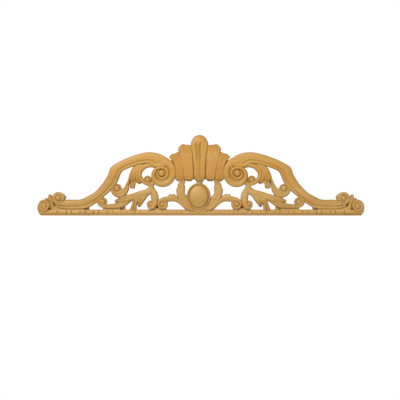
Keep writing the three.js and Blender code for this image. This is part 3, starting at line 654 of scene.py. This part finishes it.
# All that stands behind the back is planed off
offcut = {"reach": 1, "thick": 0.02}  # metres
sides = (-offcut["reach"], offcut["reach"])
backCorners = np.array([(x, y, z) for x in sides for y in (0, offcut["thick"]) for z in sides], float)
backFaces = [(0, 1, 3, 2), (4, 6, 7, 5), (0, 4, 5, 1), (2, 3, 7, 6), (0, 2, 6, 4), (1, 5, 7, 3)]
planeBlock = formObject(backCorners, backFaces, "planedOff")
workbench.objects.unlink(planeBlock)
bpy.context.scene.collection.objects.link(planeBlock)
plane = board.modifiers.new("plane", "BOOLEAN")
plane.operation = "DIFFERENCE"
plane.solver = "MANIFOLD"
plane.object = planeBlock

graph = bpy.context.evaluated_depsgraph_get()
made = bpy.data.meshes.new_from_object(board.evaluated_get(graph))
board.modifiers.clear()
board.data = made
for form in list(workbench.objects) + [planeBlock]:
    bpy.data.objects.remove(form)
bpy.data.collections.remove(workbench)
print("joined", len(made.vertices), "points", len(made.polygons), "faces")

surface = {
    "weld": 1e-5,  # metres: points closer than this are one
    "sharpAngle": 38,  # degrees: a sharper edge isn't smoothed
}
edit = bmesh.new()
edit.from_mesh(made)
bmesh.ops.remove_doubles(edit, verts=edit.verts, dist=surface["weld"])
bmesh.ops.dissolve_degenerate(edit, edges=edit.edges, dist=surface["weld"])
bmesh.ops.triangulate(edit, faces=[face for face in edit.faces if len(face.verts) > 4])
edit.to_mesh(made)
loose = sum(1 for edge in edit.edges if len(edge.link_faces) != 2)
edit.free()
print("cleaned", len(made.vertices), "points", len(made.polygons), "faces,", loose, "open edges")

# How enclosed each point is, for the painted shade in the grooves
cavity = {
    "rays": 32,
    "reach": 7 * mm,
    "lift": 0.15 * mm,
    "backEdge": 1 * mm,  # nothing is read nearer the back than this
    "smoothings": 3,
    "smoothing": 0.5,  # share taken from a point's neighbours each time
}
tree = BVHTree.FromPolygons([v.co for v in made.vertices], [list(p.vertices) for p in made.polygons])
golden = math.pi * (3 - math.sqrt(5))
rays = []
for k in range(cavity["rays"]):
    up = math.sqrt(1 - (k + 0.5) / cavity["rays"])
    out = math.sqrt(1 - up * up)
    rays.append(Vector((out * math.cos(k * golden), out * math.sin(k * golden), up)))
openness = np.ones(len(made.vertices))
for vertex in made.vertices:
    if vertex.co.y > -cavity["backEdge"]:
        continue
    turn = vertex.normal.to_track_quat("Z", "Y")
    start = vertex.co + vertex.normal * cavity["lift"]
    total = 0
    for ray in rays:
        found = tree.ray_cast(start, turn @ ray, cavity["reach"])[3]
        total += 1 if found is None else found / cavity["reach"]
    openness[vertex.index] = total / len(rays)
ends = np.array([edge.vertices[:] for edge in made.edges])
shared = np.bincount(ends.ravel(), minlength=len(openness))
for again in range(cavity["smoothings"]):  # evens out the rays' grain
    total = np.bincount(ends[:, 0], openness[ends[:, 1]], len(openness))
    total += np.bincount(ends[:, 1], openness[ends[:, 0]], len(openness))
    openness = (1 - cavity["smoothing"]) * openness + cavity["smoothing"] * total / shared
shade = made.attributes.new("open", "FLOAT", "POINT")
shade.data.foreach_set("value", openness)
print("groove depths read", round(float(openness.min()), 2))

for polygon in made.polygons:
    polygon.use_smooth = True
made.set_sharp_from_angle(angle=math.radians(surface["sharpAngle"]))


class Value:
    # a shader socket that can stand in a Python expression
    def __init__(self, shader, socket):
        self.shader = shader
        self.socket = socket

    def maths(self, operation, other):
        return self.shader.node("ShaderNodeMath", {"operation": operation}, {0: self, 1: other})

    def __add__(self, other):
        return self.maths("ADD", other)

    def __mul__(self, other):
        return self.maths("MULTIPLY", other)

    __radd__ = __add__
    __rmul__ = __mul__


class Shader:
    # the nodes of a material or of the world
    def __init__(self, owner):
        owner.use_nodes = True
        self.tree = owner.node_tree
        self.tree.nodes.clear()

    def node(self, kind, settings=None, inputs=None, output=0):
        fresh = self.tree.nodes.new(kind)
        for name, value in (settings or {}).items():
            setattr(fresh, name, value)
        for name, value in (inputs or {}).items():
            if isinstance(value, Value):
                self.tree.links.new(value.socket, fresh.inputs[name])
            else:
                fresh.inputs[name].default_value = value
        return Value(self, fresh.outputs[output]) if fresh.outputs else None

    def remap(self, value, low, high):
        return self.node("ShaderNodeMapRange", {"interpolation_type": "SMOOTHSTEP"},
                         {"Value": value, "From Min": low, "From Max": high})

    def noise(self, place, stretch, detail, rough=0.55):
        moved = self.node("ShaderNodeMapping", None, {"Vector": place, "Scale": stretch})
        return self.node("ShaderNodeTexNoise", None,
                         {"Vector": moved, "Scale": 1, "Detail": detail, "Roughness": rough})

    def mix(self, share, first, second):
        return self.node("ShaderNodeMix", {"data_type": "RGBA"},
                         {"Factor": share, 6: first, 7: second}, output=2)


wood = {
    "pale": (0.455, 0.266, 0.069, 1),
    "honey": (0.36, 0.188, 0.033, 1),
    "pink": (0.45, 0.2, 0.06, 1),
    "olive": (0.33, 0.21, 0.04, 1),
    "warm": (0.465, 0.228, 0.032, 1),
    # painted shade: the dark brown laid into the grooves and recesses, partly the oil's darker glaze there
    "groove": (0.15, 0.08, 0.02, 1),
    "figureScale": (2.2, 30, 34),  # how fine each is along, into and up the board
    "fibreScale": (14, 420, 420),
    "patchScale": (40, 40, 60),
    "tintScale": (50, 60, 80),
    "toolScale": (90, 90, 90),
    "honeyShows": (0.55, 0.92),  # from none to all of it, as its noise rises
    "pinkShows": (0.52, 0.72),
    "oliveShows": (0.54, 0.72),
    "grooveShadeShows": (0.93, 0.42),  # as the surface is less open
    "warmShows": (-0.03, 0.02),  # between these heights, in metres
    "warmWander": 0.05,  # metres that those heights wander
    "pinkShare": 0.5,
    "oliveShare": 0.45,
    "warmShare": 0.65,
    "grooveShadeShare": 0.85,
    "fibreInFigure": 0.5,
    "bump": 0.25,
    "bumpHeight": 0.6 * mm,
    "bumpFibre": 0.35,
    "bumpTools": 0.65,
    "roughness": 0.42,
    "roughFibre": 0.16,  # added where the fibre's noise is high
    "roughGroove": 0.12,  # and in the grooves
    "shine": 0.4,
}


def woodMaterial():
    material = bpy.data.materials.new("oiledLimewood")
    shader = Shader(material)
    place = shader.node("ShaderNodeTexCoord", output="Object")
    figure = shader.noise(place, wood["figureScale"], detail=4)
    fibre = shader.noise(place, wood["fibreScale"], detail=4, rough=0.65)
    patch = shader.noise(place, wood["patchScale"], detail=2)
    tint = shader.noise(place, wood["tintScale"], detail=2)
    openShare = shader.node("ShaderNodeAttribute", {"attribute_name": "open"}, output="Fac")
    toolMarks = shader.noise(place, wood["toolScale"], detail=3)
    honey = shader.remap(figure + wood["fibreInFigure"] * fibre, *wood["honeyShows"])
    colour = shader.mix(honey, wood["pale"], wood["honey"])
    pink = shader.remap(patch, *wood["pinkShows"])
    colour = shader.mix(wood["pinkShare"] * pink, colour, wood["pink"])
    olive = shader.remap(tint, *wood["oliveShows"])
    colour = shader.mix(wood["oliveShare"] * olive, colour, wood["olive"])
    height = shader.node("ShaderNodeSeparateXYZ", None, {"Vector": place}, output=2)
    wander = wood["warmWander"]
    low, high = wood["warmShows"]
    warmth = shader.remap(height + wander * patch, low + wander / 2, high + wander / 2)
    colour = shader.mix(wood["warmShare"] * warmth, colour, wood["warm"])
    # painted shade in the grooves: darker where the surface is less open; the same mask adds roughness
    # there
    groove = shader.remap(openShare, *wood["grooveShadeShows"])
    colour = shader.mix(wood["grooveShadeShare"] * groove, colour, wood["groove"])
    relief = wood["bumpFibre"] * fibre + wood["bumpTools"] * toolMarks
    roughness = wood["roughness"] + wood["roughFibre"] * fibre + wood["roughGroove"] * groove
    bump = shader.node("ShaderNodeBump", None,
                       {"Strength": wood["bump"], "Distance": wood["bumpHeight"], "Height": relief})
    finish = shader.node("ShaderNodeBsdfPrincipled", None, {
        "Base Color": colour,
        "Roughness": roughness,
        "Normal": bump,
        "Specular IOR Level": wood["shine"],
    })
    shader.node("ShaderNodeOutputMaterial", None, {"Surface": finish})
    return material


made.materials.clear()
made.materials.append(woodMaterial())
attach(board, "root")
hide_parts("carved_pediment")
print("wood on")

# Floor and light
studio = {
    "floorBelow": 0.75,  # metres under the rail, out of the picture from the front
    "floorSize": 4,
    "floorColour": (0.93, 0.925, 0.92, 1),
    "floorRoughness": 0.8,
    "white": (1, 1, 1, 1),
    "backdrop": 1,  # how bright the white behind the object is
    "sky": 0.35,  # what lights it from all round
}
reach = studio["floorSize"] / 2
floorHeight = cadLow.z - studio["floorBelow"]
corners = [(x * reach, y * reach, floorHeight) for x, y in ((-1, -1), (1, -1), (1, 1), (-1, 1))]
floorMesh = bpy.data.meshes.new("floor")
floorMesh.from_pydata(corners, [], [(0, 1, 2, 3)])
floor = bpy.data.objects.new("floor", floorMesh)
bpy.context.scene.collection.objects.link(floor)
floorMaterial = bpy.data.materials.new("paleFloor")
floorShader = Shader(floorMaterial)
floorFinish = floorShader.node("ShaderNodeBsdfPrincipled", None, {
    "Base Color": studio["floorColour"],
    "Roughness": studio["floorRoughness"],
})
floorShader.node("ShaderNodeOutputMaterial", None, {"Surface": floorFinish})
floorMesh.materials.append(floorMaterial)

lamps = {  # place, size in metres, watts
    "key": ((-0.7, -1.8, 1.15), 0.6, 48),
    "fill": ((0.8, -2.2, -0.2), 1.6, 12),
}
for name, (spot, size, watts) in lamps.items():
    lamp = bpy.data.objects.new(name, bpy.data.lights.new(name, "AREA"))
    lamp.data.size = size
    lamp.data.energy = watts
    lamp.location = spot
    lamp.rotation_euler = (-Vector(spot)).to_track_quat("-Z", "Y").to_euler()
    bpy.context.scene.collection.objects.link(lamp)

world = bpy.data.worlds.new("studio")
air = Shader(world)
backdrop = air.node("ShaderNodeBackground", None,
                    {"Color": studio["white"], "Strength": studio["backdrop"]})
sky = air.node("ShaderNodeBackground", None, {"Strength": studio["sky"]})
seen = air.node("ShaderNodeLightPath", output="Is Camera Ray")
either = air.node("ShaderNodeMixShader", None, {0: seen, 1: sky, 2: backdrop})
air.node("ShaderNodeOutputWorld", None, {"Surface": either})
bpy.context.scene.world = world
bpy.context.scene.view_settings.view_transform = "Standard"
print("lit")
